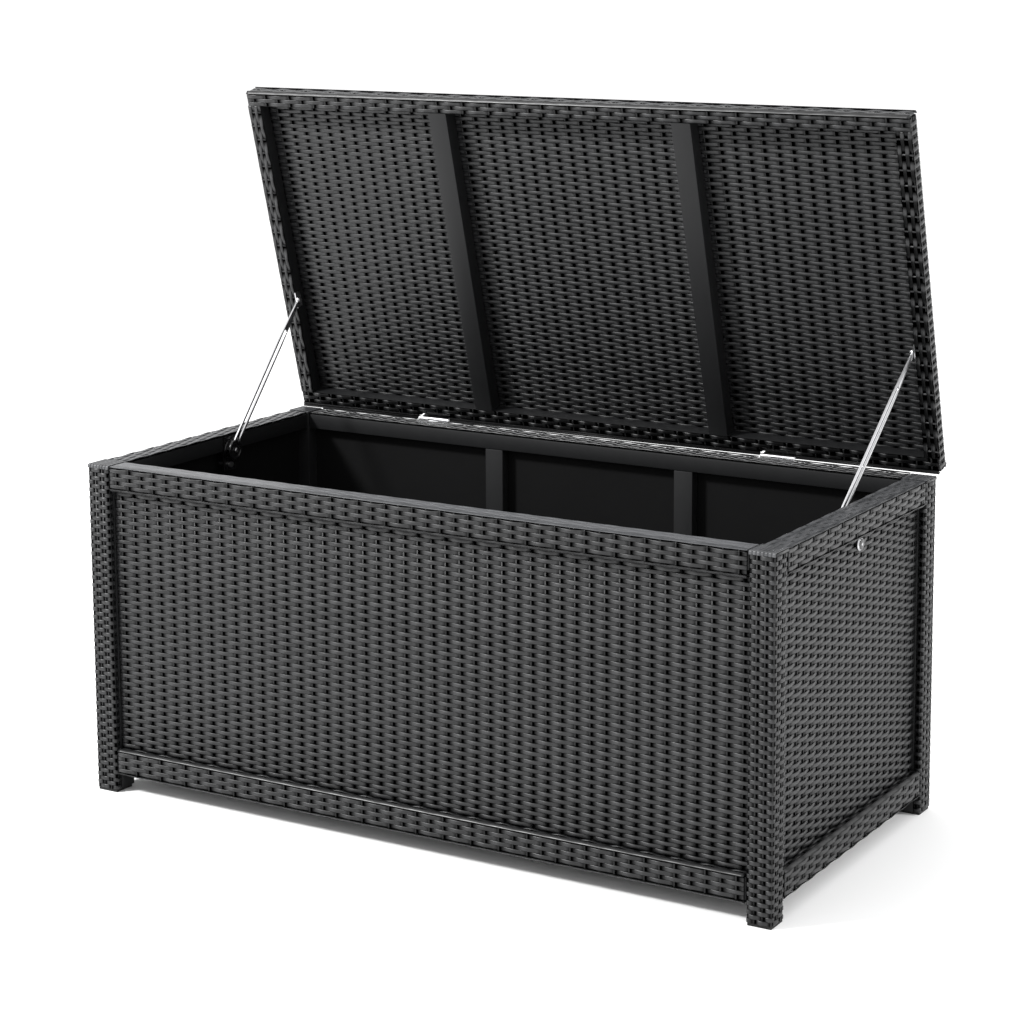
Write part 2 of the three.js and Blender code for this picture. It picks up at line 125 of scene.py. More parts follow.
# the strands that close the lid's edges
CORNER_BACKING = 3.4 * MM
BACKING_WIDTH = 5 * MM
BACKING_INSET = 2 * MM
BINDING_WIDTH = 6 * MM
BINDING_INSET = 3.2 * MM
BINDING_HEIGHT = 0.75 * MM
EDGE_WIDTH = 3.9 * MM
EDGE_LIFT = 0.1 * MM
EDGE_SLOPE = 2.1 * MM
KNUCKLE_CLEAR = 1.2 * MM
KNUCKLE_REACH = 9 * MM
STAKE_CLEAR = 3 * MM
END_STAKE_START = 0.5 * MM
SKIRT_STAKE_INSET = 6 * MM

UP = np.array([0.0, 0.0, 1.0])
UPRIGHT = Matrix.Identity(4)

rng = np.random.default_rng(11)


# ---------------------------------------------------------------- materials
def new_material(name):
    material = bpy.data.materials.new(name)
    material.use_nodes = True
    tree = material.node_tree
    return material, tree, tree.nodes["Principled BSDF"]


def node(tree, kind, **values):
    made = tree.nodes.new(kind)
    for key, value in values.items():
        if key in made.inputs.keys():
            made.inputs[key].default_value = value
        else:
            setattr(made, key, value)
    return made


def noise(tree, scale, detail=3.0):
    coords = node(tree, "ShaderNodeTexCoord")
    made = node(tree, "ShaderNodeTexNoise", Scale=scale, Detail=detail)
    tree.links.new(coords.outputs["Object"], made.inputs["Vector"])
    return made.outputs["Fac"]


def remap(tree, value, low, high, clamp=True):
    made = node(tree, "ShaderNodeMapRange", clamp=clamp)
    made.inputs["To Min"].default_value = low
    made.inputs["To Max"].default_value = high
    tree.links.new(value, made.inputs["Value"])
    return made.outputs["Result"]


def bump(tree, shader, height, strength, distance):
    made = node(tree, "ShaderNodeBump", Strength=strength, Distance=distance)
    tree.links.new(height, made.inputs["Height"])
    tree.links.new(made.outputs["Normal"], shader.inputs["Normal"])


WICKER_DARK = (0.0062, 0.0064, 0.0068, 1)
WICKER_LIGHT = (0.0118, 0.0120, 0.0126, 1)
GROOVES = 17.0


def wicker_material():
    material, tree, shader = new_material("wicker")
    tone = node(tree, "ShaderNodeAttribute", attribute_name="tone").outputs["Fac"]
    across = node(tree, "ShaderNodeAttribute", attribute_name="across").outputs["Fac"]
    mottle = noise(tree, 38.0)
    mixed = node(tree, "ShaderNodeMath", operation="ADD")
    tree.links.new(tone, mixed.inputs[0])
    tree.links.new(mottle, mixed.inputs[1])
    ramp = node(tree, "ShaderNodeValToRGB")
    ramp.color_ramp.elements[0].position = 0.45
    ramp.color_ramp.elements[0].color = WICKER_DARK
    ramp.color_ramp.elements[1].position = 1.0
    ramp.color_ramp.elements[1].color = WICKER_LIGHT
    tree.links.new(mixed.outputs[0], ramp.inputs["Fac"])
    # the depth attribute is painted shade: it darkens the base colour and the reflection, and below 0 it is
    # painted light that lightens the colour
    depth = node(tree, "ShaderNodeAttribute", attribute_name="depth").outputs["Fac"]
    painted_light_scale = remap(tree, depth, 1.0, 0.02, clamp=False)
    shaded = node(tree, "ShaderNodeVectorMath", operation="SCALE")
    tree.links.new(ramp.outputs["Color"], shaded.inputs[0])
    tree.links.new(painted_light_scale, shaded.inputs["Scale"])
    tree.links.new(shaded.outputs[0], shader.inputs["Base Color"])
    tree.links.new(remap(tree, depth, 0.4, 0.0), shader.inputs["Specular IOR Level"])
    tree.links.new(remap(tree, noise(tree, 120.0), 0.28, 0.42), shader.inputs["Roughness"])
    grooves = node(tree, "ShaderNodeMath", operation="MULTIPLY")
    grooves.inputs[1].default_value = GROOVES
    tree.links.new(across, grooves.inputs[0])
    wave = node(tree, "ShaderNodeMath", operation="SINE")
    tree.links.new(grooves.outputs[0], wave.inputs[0])
    bump(tree, shader, wave.outputs[0], 0.25, 0.0002)
    return material


def coated_steel_material(name, colour, roughness, specular):
    material, tree, shader = new_material(name)
    shader.inputs["Specular IOR Level"].default_value = specular
    ramp = node(tree, "ShaderNodeValToRGB")
    ramp.color_ramp.elements[0].color = tuple(c * 0.85 for c in colour) + (1,)
    ramp.color_ramp.elements[1].color = tuple(c * 1.15 for c in colour) + (1,)
    tree.links.new(noise(tree, 9.0), ramp.inputs["Fac"])
    tree.links.new(ramp.outputs["Color"], shader.inputs["Base Color"])
    rough = remap(tree, noise(tree, 60.0), roughness - 0.06, roughness + 0.06)
    tree.links.new(rough, shader.inputs["Roughness"])
    bump(tree, shader, noise(tree, 900.0, 2.0), 0.12, 0.0002)
    return material


def metal_material(name, colour, roughness):
    material, tree, shader = new_material(name)
    shader.inputs["Metallic"].default_value = 1.0
    ramp = node(tree, "ShaderNodeValToRGB")
    ramp.color_ramp.elements[0].color = tuple(c * 0.9 for c in colour) + (1,)
    ramp.color_ramp.elements[1].color = tuple(min(c * 1.1, 1.0) for c in colour) + (1,)
    tree.links.new(noise(tree, 140.0), ramp.inputs["Fac"])
    tree.links.new(ramp.outputs["Color"], shader.inputs["Base Color"])
    rough = remap(tree, noise(tree, 300.0), roughness - 0.07, roughness + 0.07)
    tree.links.new(rough, shader.inputs["Roughness"])
    bump(tree, shader, noise(tree, 700.0, 2.0), 0.06, 0.0001)
    return material


WICKER = wicker_material()
STEEL = coated_steel_material("coated_steel", (0.0075, 0.0077, 0.0082), 0.5, 0.25)
LINER = coated_steel_material("liner", (0.0042, 0.0042, 0.0044), 0.6, 0.1)
BLACK = coated_steel_material("black_fitting", (0.005, 0.005, 0.0054), 0.26, 0.5)
RUBBER = coated_steel_material("black_plastic", (0.005, 0.005, 0.005), 0.55, 0.3)
ZINC = metal_material("zinc", (0.52, 0.52, 0.53), 0.3)
SLOT_MATERIALS = {
    "wicker": WICKER, "coated_steel": STEEL, "liner": LINER,
    "black_fitting": BLACK, "black_plastic": RUBBER, "zinc": ZINC,
}

for entry in frame["record"]["subparts"]:
    cad = frame["nodes"][entry["node"]]
    cad.data.materials.clear()
    cad.data.materials.append(SLOT_MATERIALS[entry["material_slot"]])


# ---------------------------------------------------------------- strands
SECTION = np.array([(-1, 0), (-0.62, 1), (0.62, 1), (1, 0), (0.62, -1), (-0.62, -1)], float)


def unit(rows):
    return rows / np.linalg.norm(rows, axis=1, keepdims=True)


class Strands:
    """Flat strands gathered into one mesh, each a closed strip along its centre line."""

    def __init__(self):
        self.points, self.quads, self.caps = [], [], []
        # the depth list holds each point's painted shade and painted light, not a depth
        self.across, self.tone, self.depth = [], [], []
        self.count = 0

    def add(self, centre, normal, width, thick, bend=None, shade=None, gleam=0.0):
        """bend pulls both edges back along the normal. shade is -1 to 1, painted shade where the strand passes
        behind a stake: its front is hidden and shaded at -1 and its back at 1. The last argument is painted
        light, which lightens the strand above 0 and darkens it below."""
        n = len(centre)
        bend = np.zeros(n) if bend is None else bend
        shade = np.zeros(n) if shade is None else shade
        tangent = unit(np.gradient(centre, axis=0))
        side = unit(np.cross(tangent, normal))
        up = np.cross(side, tangent)
        sides = len(SECTION)
        rise = SECTION[None, :, 1] * thick / 2 - SECTION[None, :, 0] ** 2 * bend[:, None]
        ring = (centre[:, None, :] + side[:, None, :] * SECTION[None, :, :1] * width / 2
                + up[:, None, :] * rise[:, :, None])
        face = SECTION[None, :, 1]
        # painted shade: every strand's edges are darkened, more where it passes behind a stake, and its side
        # behind the stake is darkened; painted light is then taken off
        edge = np.maximum(np.abs(shade)[:, None] * UNDER_SHADE, EDGE_SHADE)
        painted_shading = np.where(face == 0, edge, np.clip(-face * shade[:, None], 0, 1))
        painted_shading = painted_shading - np.reshape(gleam, (-1, 1))
        self.points.append(ring.reshape(-1, 3))
        self.across.append(np.tile(SECTION[:, 0], n))
        self.tone.append(np.full(n * sides, rng.random()))
        self.depth.append(painted_shading.ravel())
        i = np.arange(n - 1)[:, None]
        k = np.arange(sides)[None, :]
        here, there = i * sides, (i + 1) * sides
        k_next = (k + 1) % sides
        quads = np.stack([here + k, here + k_next, there + k_next, there + k], axis=-1).reshape(-1, 4)
        self.quads.append(quads + self.count)
        first = np.arange(sides)[::-1] + self.count
        last = np.arange(sides) + (n - 1) * sides + self.count
        self.caps += [first, last]
        self.count += n * sides

    def build(self, name, body, replaced=None):
        mesh = bpy.data.meshes.new(name)
        points = np.concatenate(self.points)
        quads = np.concatenate(self.quads)
        caps = np.array(self.caps, int)
        loops = np.concatenate([quads.ravel(), caps.ravel()])
        cap_starts = len(quads) * 4 + np.arange(len(caps)) * len(SECTION)
        starts = np.concatenate([np.arange(len(quads)) * 4, cap_starts])
        mesh.vertices.add(len(points))
        mesh.vertices.foreach_set("co", points.ravel())
        mesh.loops.add(len(loops))
        mesh.loops.foreach_set("vertex_index", loops)
        mesh.polygons.add(len(starts))
        mesh.polygons.foreach_set("loop_start", starts)
        mesh.update(calc_edges=True)
        smooth = np.concatenate([np.ones(len(quads), bool), np.zeros(len(caps), bool)])
        mesh.polygons.foreach_set("use_smooth", smooth)
        # the depth attribute carries the painted shade and painted light to the wicker material
        for key, values in (("across", self.across), ("tone", self.tone), ("depth", self.depth)):
            mesh.attributes.new(key, "FLOAT", "POINT").data.foreach_set("value", np.concatenate(values))
        mesh.materials.append(WICKER)
        place_piece(bpy.data.objects.new(name, mesh), body, replaced)


def place_piece(made, body, replaced=None):
    bpy.context.scene.collection.objects.link(made)
    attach(made, body)
    if replaced:
        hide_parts(replaced)


def weaver(strands, points, normals, phase, pitch, width, flat=0.0, gleam=0.0, depth=WAVE):
    """One strand that waves over and under the stakes. phase counts stakes, over at even counts; flat
    is 0 to 1, a full wave to nearly straight in front of every stake."""
    swing = np.cos(np.pi * phase)
    wave = depth * ((1 - flat) * swing + flat * STRAIGHT_RISE)
    # painted shade near each stake, shifted a little along the strand, on the part of the strand that passes
    # behind it
    away = np.abs(phase - np.round(phase) - SHADE_OFFSET) * pitch
    near = np.clip(1.5 - 1.5 * away / SHADE_REACH, 0, 1)
    over = np.round(phase) % 2 == 0
    shade = np.where(over, 1, -1) * near * (1 - flat)
    # a painted highlight on the flank before each crest that passes over a stake, and painted shade on the rest of
    # that float
    lead = (phase - np.round(phase) + FLOAT_LEAD) / FLOAT_SPREAD
    painted_highlight = np.where(over, FLOAT_PAINTED_HIGHLIGHT * np.exp(-lead ** 2) - FLOAT_SHADE, 0.0) * (1 - flat)
    strands.add(points + normals * wave[:, None], normals, width * WEAVER_OVERLAP, WEAVER_THICK,
                CUP * (1 - flat) * depth * swing, shade, gleam + painted_highlight)


def weave(strands, place, u_length, stakes, v_length, rows, row_range=None, stake_steps=2, flatness=None,
          depth=WAVE, top_painted_light=TOP_PAINTED_LIGHT):
    """Weavers run along u and pass over and under stakes that run along v. place(u, v) gives points of
    the weave's middle surface and its outward normals. flatness(v) gives each weaver's flat, and flat
    ones that face up get the painted light given for the tops."""
    pitch = u_length / stakes
    row = v_length / rows
    u = np.linspace(0, u_length, stakes * SAMPLES + 1)
    for j in range(rows) if row_range is None else row_range:
        v = (j + 0.5) * row
        points, normals = place(u, np.full_like(u, v))
        flat = flatness(v) if flatness else 0.0
        # flat weavers that face up get painted light
        gleam = top_painted_light if flat and normals[0, 2] > FACING else 0.0
        weaver(strands, points, normals, u / pitch - 0.5 + j, pitch, row, flat, gleam, depth)
    v = np.linspace(0, v_length, stake_steps)
    for i in range(stakes) if row_range is None or 0 in row_range else ():
        points, normals = place(np.full_like(v, (i + 0.5) * pitch), v)
        # the stakes get painted shade, darker and duller
        strands.add(points, normals, STAKE_WIDTH, STAKE_THICK, gleam=STAKE_PAINTED_SHADE)


def rounded_path(corners, radius):
    """A path through 2-D corners with each bend rounded: its points and the lengths along it."""
    points = []
    total = len(corners)
    for i, corner in enumerate(corners):
        corner = np.array(corner, float)
        if i in (0, total - 1):
            points.append(corner)
            continue
        before = unit((np.array(corners[i - 1], float) - corner)[None])[0]
        after = unit((np.array(corners[i + 1], float) - corner)[None])[0]
        middle = corner + (before + after) * radius
        for t in np.linspace(0, 1, 9):
            swing = t * math.pi / 2
            spoke = -after * math.cos(swing) - before * math.sin(swing)
            points.append(middle + spoke * radius)
    points = np.array(points)
    gaps = np.linalg.norm(np.diff(points, axis=0), axis=1)
    keep = np.concatenate([[True], gaps > 1e-9])
    points = points[keep]
    lengths = np.concatenate([[0], np.cumsum(np.linalg.norm(np.diff(points, axis=0), axis=1))])
    return points, lengths


def path_sampler(points, lengths):
    """Gives the places at lengths along a path, and the left-hand normals there."""
    total = lengths[-1]
    reach = 0.4 * MM

    def at(s):
        return np.stack([np.interp(s, lengths, points[:, 0]), np.interp(s, lengths, points[:, 1])], axis=1)

    def sample(s):
        step = unit(at(np.minimum(s + reach, total)) - at(np.maximum(s - reach, 0)))
        return at(s), np.stack([-step[:, 1], step[:, 0]], axis=1)

    return sample


# ---------------------------------------------------------------- smooth solids
def solid(name, body, slot, shapes, replaced=None, bevel=0.0):
    """A piece made of closed shapes, each a list of points and a list of faces, with softened edges."""
    made = bmesh.new()
    for points, faces in shapes:
        spots = [made.verts.new(point) for point in points]
        for face in faces:
            made.faces.new([spots[k] for k in face])
    bmesh.ops.recalc_face_normals(made, faces=made.faces)
    if bevel:
        sharp = [edge for edge in made.edges if edge.calc_face_angle(0) > math.radians(35)]
        bmesh.ops.bevel(made, geom=sharp, offset=bevel, segments=2, profile=0.6, affect="EDGES")
    mesh = bpy.data.meshes.new(name)
    made.to_mesh(mesh)
    made.free()
    mesh.shade_smooth()
    mesh.set_sharp_from_angle(angle=math.radians(32))
    mesh.materials.append(SLOT_MATERIALS[slot])
    place_piece(bpy.data.objects.new(name, mesh), body, replaced)


def prism(outline, frame_at, low, high):
    """An outline in a frame's X and Y, extruded along its Z from low to high."""
    n = len(outline)
    points = [frame_at @ Vector((a, b, c)) for c in (low, high) for a, b in outline]
    sides = [(k, (k + 1) % n, n + (k + 1) % n, n + k) for k in range(n)]
    return points, sides + [tuple(range(n)), tuple(range(n, 2 * n))]


def turned(profile, frame_at, sides=36):
    """A profile of (radius, height) pairs turned about a frame's Z, flat at both ends."""
    points, faces = [], []
    for radius, height in profile:
        for k in range(sides):
            swing = 2 * math.pi * k / sides
            points.append(frame_at @ Vector((radius * math.cos(swing), radius * math.sin(swing), height)))
    for ring in range(len(profile) - 1):
        for k in range(sides):
            here, after = ring * sides + k, ring * sides + (k + 1) % sides
            faces.append((here, after, after + sides, here + sides))
    last = (len(profile) - 1) * sides
    return points, faces + [tuple(range(sides)), tuple(range(last, last + sides))]


def box_shape(low, high, frame_at):
    outline = [(low[0], low[1]), (high[0], low[1]), (high[0], high[1]), (low[0], high[1])]
    return prism(outline, frame_at, low[2], high[2])


# ---------------------------------------------------------------- the box
SIDES = {
    "front": (Vector((0, -1, 0)), Vector((1, 0, 0))),
    "right": (Vector((1, 0, 0)), Vector((0, 1, 0))),
    "rear": (Vector((0, 1, 0)), Vector((-1, 0, 0))),
    "left": (Vector((-1, 0, 0)), Vector((0, -1, 0))),
}


class SideFrame:
    """A CAD node on one side of the box: positions along it, inwards from its outer face, and upwards."""

    def __init__(self, node_name, side):
        self.outward, self.along = (np.array(v) for v in SIDES[side])
        low, high = (np.array(v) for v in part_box(node_name))
        half = (high - low) / 2
        self.centre = (low + high) / 2
        self.length = 2 * abs(half @ self.along)
        self.depth = 2 * abs(half @ self.outward)
        self.height = 2 * half[2]

    def point(self, along, inset, up):
        """Metres along from the left-hand end, inset from the outer face, up from the bottom."""
        return (self.centre + np.outer(along - self.length / 2, self.along)
                + np.outer(self.depth / 2 - inset, self.outward)
                + np.outer(up - self.height / 2, UP))

    def direction(self, inset, up):
        return np.outer(-inset, self.outward) + np.outer(up, UP)


def make_panel(side):
    """Woven in two meshes, of which the lower one also holds the stakes."""
    place_frame = SideFrame(f"{side}_panel", side)

    def place(u, v):
        zero = np.zeros_like(u)
        return place_frame.point(u, zero + PANEL_INSET, v), place_frame.direction(zero - 1, zero)

    stakes = round(place_frame.length / STAKE_PITCH)
    rows = round(place_frame.height / ROW_PITCH)
    middle = rows // 2
    for part, row_range in (("lower", range(middle)), ("upper", range(middle, rows))):
        strands = Strands()
        weave(strands, place, place_frame.length, stakes, place_frame.height, rows, row_range,
              depth=PANEL_WAVE)
        strands.build(f"{side}_panel_weave_{part}", "box_body", f"{side}_panel")


def clear_of_hinges(length):
    """Spans along the rear rail, from its left-hand end, that leave the hinges free."""
    reach = max(abs(corner[0]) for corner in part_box("left_hinge_box_leaf")) + HINGE_CLEAR
    near = min(abs(corner[0]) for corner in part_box("left_hinge_box_leaf")) - HINGE_CLEAR
    half = length / 2
    return [np.array(span) + half for span in ((-half, -reach), (-near, near), (reach, half))]


def make_rail(side, level):
    """Woven from under its outer edge, up its outer face and over its top."""
    node_name = f"{side}_{level}_rail_wicker"
    place_frame = SideFrame(node_name, side)
    m, depth, height = RAIL_INSET, place_frame.depth, place_frame.height
    lip = LIP_REACH if level == "top" else depth
    points, lengths = rounded_path([(lip, m), (m, m), (m, height - m), (depth, height - m)], CORNER_RADIUS)
    sample = path_sampler(points, lengths)

    def place(u, v):
        here, normal = sample(v)
        return place_frame.point(u, here[:, 0], here[:, 1]), place_frame.direction(normal[:, 0], normal[:, 1])

    def flatness(v):
        _, normal = sample(np.array([v]))
        if normal[0, 0] < -FACING or level == "bottom" and normal[0, 1] > FACING:
            return 0.0
        return SMOOTH_FLAT if side == "front" else HALF_FLAT

    strands = Strands()
    stakes = round(place_frame.length / STAKE_PITCH)
    rows = round(lengths[-1] / ROW_PITCH)
    # painted light on the rail's flat top: most on the front rail, less on the left and right rails, least on the
    # rear rail
    weave(strands, place, place_frame.length, stakes, lengths[-1], rows, flatness=flatness,
          stake_steps=RAIL_STAKE_STEPS,
          top_painted_light={"front": TOP_PAINTED_LIGHT, "rear": REAR_PAINTED_LIGHT}.get(side, CAP_PAINTED_LIGHT))
    if (side, level) == ("rear", "top"):
        for ends in clear_of_hinges(place_frame.length):
            inset, up = np.full(2, RAIL_BINDING_INSET), np.full(2, height - BINDING_HEIGHT)
            binding = place_frame.point(ends, inset, up)
            strands.add(binding, np.tile(UP, (2, 1)), RAIL_BINDING_WIDTH, WEAVER_THICK)
    strands.build(f"{side}_{level}_rail_weave", "box_body", node_name)


def make_post(name):
    """Woven on its two outer faces and as far in as the panels, with a smooth steel core."""
    low, high = (np.array(v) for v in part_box(f"{name}_post"))
    side_x = 1 if name.endswith("right") else -1
    side_y = 1 if name.startswith("rear") else -1
    outer_x = high[0] if side_x > 0 else low[0]
    outer_y = high[1] if side_y > 0 else low[1]
    wide = high[0] - low[0]
    m = MIDDLE_INSET
    wrap = [(wide - m, LIP_REACH), (wide - m, m), (m, m), (m, wide - m), (LIP_REACH, wide - m)]
    points, lengths = rounded_path(wrap, CORNER_RADIUS)
    sample = path_sampler(points, lengths)

    def spot(p, q, z):
        return np.stack([outer_x - side_x * p, outer_y - side_y * q, z], axis=1)

    def place(u, v):
        here, normal = sample(u)
        zero = np.zeros_like(u)
        return (spot(here[:, 0], here[:, 1], low[2] + v),
                np.stack([-side_x * normal[:, 0], -side_y * normal[:, 1], zero], axis=1))

    strands = Strands()
    wrap_height = high[2] - low[2] - CAP_DEPTH
    stakes = round(lengths[-1] / POST_PITCH)
    weave(strands, place, lengths[-1], stakes, wrap_height, round(wrap_height / ROW_PITCH))
    edge = WEAVER_THICK / 2 + CAP_INSET
    end = wide - CAP_GAP
    top = high[2] - WEAVER_THICK / 2 - CAP_DROP
    cap_path, cap_lengths = rounded_path([(end, top), (edge, top), (edge, high[2] - CAP_DEPTH)], CAP_RADIUS)
    cap_sample = path_sampler(cap_path, cap_lengths)
    here, normal = cap_sample(np.linspace(0, cap_lengths[-1], CAP_STEPS))
    along_cap = np.stack([np.zeros(CAP_STEPS), side_y * normal[:, 0], -normal[:, 1]], axis=1)
    cap_rows = round(wide / ROW_PITCH)
    row = (end - CAP_INSET) / cap_rows
    for j in range(cap_rows):
        p = np.full(CAP_STEPS, CAP_INSET + (j + 0.5) * row)
        # painted light on the cap's strands
        strands.add(spot(p, here[:, 0], here[:, 1]), along_cap, row * CAP_OVERLAP, WEAVER_THICK,
                    gleam=CAP_PAINTED_LIGHT)
    rim_width = CAP_DEPTH - WEAVER_THICK - CAP_GAP
    rim_z = np.full(2, high[2] - CAP_DEPTH + rim_width / 2)
    for p, outwards, reach in ((edge, side_x, end), (wide - edge, -side_x, LIP_REACH)):
        spots = spot(np.full(2, p), np.array([2 * edge, reach]), rim_z)
        strands.add(spots, np.tile([outwards, 0.0, 0.0], (2, 1)), rim_width, WEAVER_THICK)
    strands.build(f"{name}_post_weave", "box_body", f"{name}_post")

    step, turn = CLADDING + FIT, LIP_REACH + FIT
    outline = [(step, step), (wide - step, step), (wide - step, turn), (wide, turn),
               (wide, wide), (turn, wide), (turn, wide - step), (step, wide - step)]
    plan = [(outer_x - side_x * p, outer_y - side_y * q) for p, q in outline]
    core = prism(plan, UPRIGHT, low[2], top - WEAVER_THICK / 2 - CAP_GAP)
    solid(f"{name}_post_core", "box_body", "coated_steel", [core], f"{name}_post", CORE_BEVEL)


def make_bar(node_name, body="box_body"):
    """A steel tube with rounded edges in place of its CAD node."""
    low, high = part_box(node_name) if body == "box_body" else shut_box(node_name)
    frame_at = UPRIGHT if body == "box_body" else OPEN_LID
    shape = box_shape(low, high, frame_at)
    solid(f"{node_name}_bar", body, "coated_steel", [shape], node_name, BAR_BEVEL)


for side in SIDES:
    make_panel(side)
    make_rail(side, "top")
    make_rail(side, "bottom")
    make_bar(f"{side}_top_rail_steel")
for post in ("front_left", "front_right", "rear_left", "rear_right"):
    make_post(post)
for upright in ("front_upright_1", "front_upright_2", "rear_upright_1", "rear_upright_2"):
    make_bar(upright)


# ---------------------------------------------------------------- the lid, laid out shut and turned open
JOINTS = {joint["name"]: joint for joint in frame["joints"]}
PIN = Vector(JOINTS["lid_hinge"]["pos_m"])
SHUT = math.radians(JOINTS["lid_hinge"]["range_deg"][1])
OPEN_LID = Matrix.Translation(PIN) @ Matrix.Rotation(-SHUT, 4, "X") @ Matrix.Translation(-PIN)
SHUT_LID = OPEN_LID.inverted()
LID_TURN = np.array(OPEN_LID.to_3x3())


def shut_box(node_name):
    """The box round one of the lid's CAD nodes when the lid is shut."""
    corners = np.array([SHUT_LID @ v.co for v in frame["nodes"][node_name].data.vertices])
    return corners.min(0), corners.max(0)


LID_LOW, LID_HIGH = shut_box("lid_cover")
LEFT, RIGHT = LID_LOW[0] + MIDDLE_INSET, LID_HIGH[0] - MIDDLE_INSET
FRONT, REAR = LID_LOW[1] + MIDDLE_INSET, LID_HIGH[1] - MIDDLE_INSET
BASE, TOP = LID_LOW[2] + MIDDLE_INSET, LID_HIGH[2] - MIDDLE_INSET
BORDER_FRONT, BORDER_REAR = LID_LOW[1] + LID_BORDER, LID_HIGH[1] - LID_BORDER

# the cover's section, from the front border's inner edge over the top to the rear border's
COVER_CORNERS = [(BORDER_FRONT, BASE), (FRONT, BASE), (FRONT, TOP), (REAR, TOP), (REAR, BASE),
                 (BORDER_REAR, BASE)]
COVER_PATH, COVER_LENGTHS = rounded_path(COVER_CORNERS, CORNER_RADIUS)
COVER_LENGTH = COVER_LENGTHS[-1]
cover_at = path_sampler(COVER_PATH, COVER_LENGTHS)

# the way of a row that wraps round the lid's left and right ends
WRAP_CORNERS = [(LEFT, BASE), (LEFT, TOP), (RIGHT, TOP), (RIGHT, BASE)]
WRAP_PATH, WRAP_LENGTHS = rounded_path(WRAP_CORNERS, CORNER_RADIUS)
WRAP_LENGTH = WRAP_LENGTHS[-1]
wrap_at = path_sampler(WRAP_PATH, WRAP_LENGTHS)

LID_ROWS = round(COVER_LENGTH / ROW_PITCH)
LID_ROW = COVER_LENGTH / LID_ROWS
LID_STAKES = round((RIGHT - LEFT) / STAKE_PITCH)
LID_PITCH = (RIGHT - LEFT) / LID_STAKES

# each hinge's knuckles along the lid, and the runs of the rear border that they leave
KNUCKLES = [[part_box(f"{side}_hinge_box_leaf")[k][0] for k in (0, 1)] for side in ("left", "right")]
RUNS = [(LEFT, KNUCKLES[0][0] - KNUCKLE_CLEAR),
        (KNUCKLES[0][1] + KNUCKLE_CLEAR, KNUCKLES[1][0] - KNUCKLE_CLEAR),
        (KNUCKLES[1][1] + KNUCKLE_CLEAR, RIGHT)]


def to_open(points):
    """Points on the shut lid, turned to where the open lid has them."""
    return points @ LID_TURN.T + np.array(OPEN_LID.translation)


def lid_weaver(strands, spots, outwards, phase, flat=0.0, gleam=0.0):
    weaver(strands, to_open(spots), outwards @ LID_TURN.T, phase, LID_PITCH, LID_ROW, flat, gleam)


def lid_strip(strands, ends, outwards, width, thick=WEAVER_THICK, gleam=0.0):
    """A straight strand between two places on the shut lid."""
    normals = np.tile(LID_TURN @ outwards, (2, 1))
    strands.add(to_open(np.array(ends)), normals, width, thick, gleam=gleam)


def straight_row(strands, j, y, z, normal, x0, x1):
    x = np.linspace(x0, x1, max(2, round((x1 - x0) / LID_PITCH * SAMPLES)) + 1)
    spots = np.stack([x, np.full_like(x, y), np.full_like(x, z)], axis=1)
    out = np.tile([0.0, normal[0], normal[1]], (len(x), 1))
    flat = 0.0 if abs(normal).max() > FACING else SMOOTH_FLAT
    gleam = 0.0
    if y > 0 and z < BASE + MM:
        # painted shade on the rows of the rear lip
        gleam = LIP_SHADE
    elif normal[0] < -FACING:
        # painted light on the rows of the front skirt
        gleam = FRONT_PAINTED_LIGHT
    lid_weaver(strands, spots, out, (x - LEFT) / LID_PITCH - 0.5 + j, flat, gleam)


def wrapped_row(strands, j, y):
    """A row along the lid's top that goes on down its left and right ends."""
    s = np.linspace(0, WRAP_LENGTH, round(WRAP_LENGTH / LID_PITCH * SAMPLES) + 1)
    around, out = wrap_at(s)
    spots = np.stack([around[:, 0], np.full_like(s, y), around[:, 1]], axis=1)
    out = np.stack([out[:, 0], np.zeros_like(s), out[:, 1]], axis=1)
    skirt = (WRAP_LENGTH - (RIGHT - LEFT)) / 2
    lid_weaver(strands, spots, out, (s - skirt) / LID_PITCH - 0.5 + j)


def lay_rows(rear_half, front_half):
    for j in range(LID_ROWS):
        here, normal = cover_at(np.array([(j + 0.5) * LID_ROW]))
        (y, z), normal = here[0], normal[0]
        strands = rear_half if y > (REAR + FRONT) / 2 else front_half
        if normal[1] > UPWARDS:
            wrapped_row(strands, j, y)
        elif y > REAR - KNUCKLE_REACH and z < BASE + KNUCKLE_REACH:
            for x0, x1 in RUNS:
                straight_row(strands, j, y, z, normal, x0, x1)
        else:
            straight_row(strands, j, y, z, normal, LEFT, RIGHT)


def lay_stakes(strands):
    """Stakes that follow the cover's section. At a hinge they leave out the corner round its knuckles."""
    for i in range(LID_STAKES):
        x = LEFT + (i + 0.5) * LID_PITCH
        stops = [(0, COVER_LENGTH)]
        if any(x0 - STAKE_CLEAR < x < x1 + STAKE_CLEAR for x0, x1 in KNUCKLES):
            bend = COVER_LENGTH - LID_BORDER
            stops = [(0, bend - KNUCKLE_REACH), (bend + KNUCKLE_REACH, COVER_LENGTH)]
        for v0, v1 in stops:
            v = np.linspace(v0, v1, max(4, round((v1 - v0) / STAKE_STEP)))
            spots, normals = cover_at(v)
            spots = np.stack([np.full_like(v, x), spots[:, 0], spots[:, 1]], axis=1)
            out = np.stack([np.zeros_like(v), normals[:, 0], normals[:, 1]], axis=1)
            # the stakes get painted shade, darker and duller
            strands.add(to_open(spots), out @ LID_TURN.T, STAKE_WIDTH, STAKE_THICK, gleam=STAKE_PAINTED_SHADE)


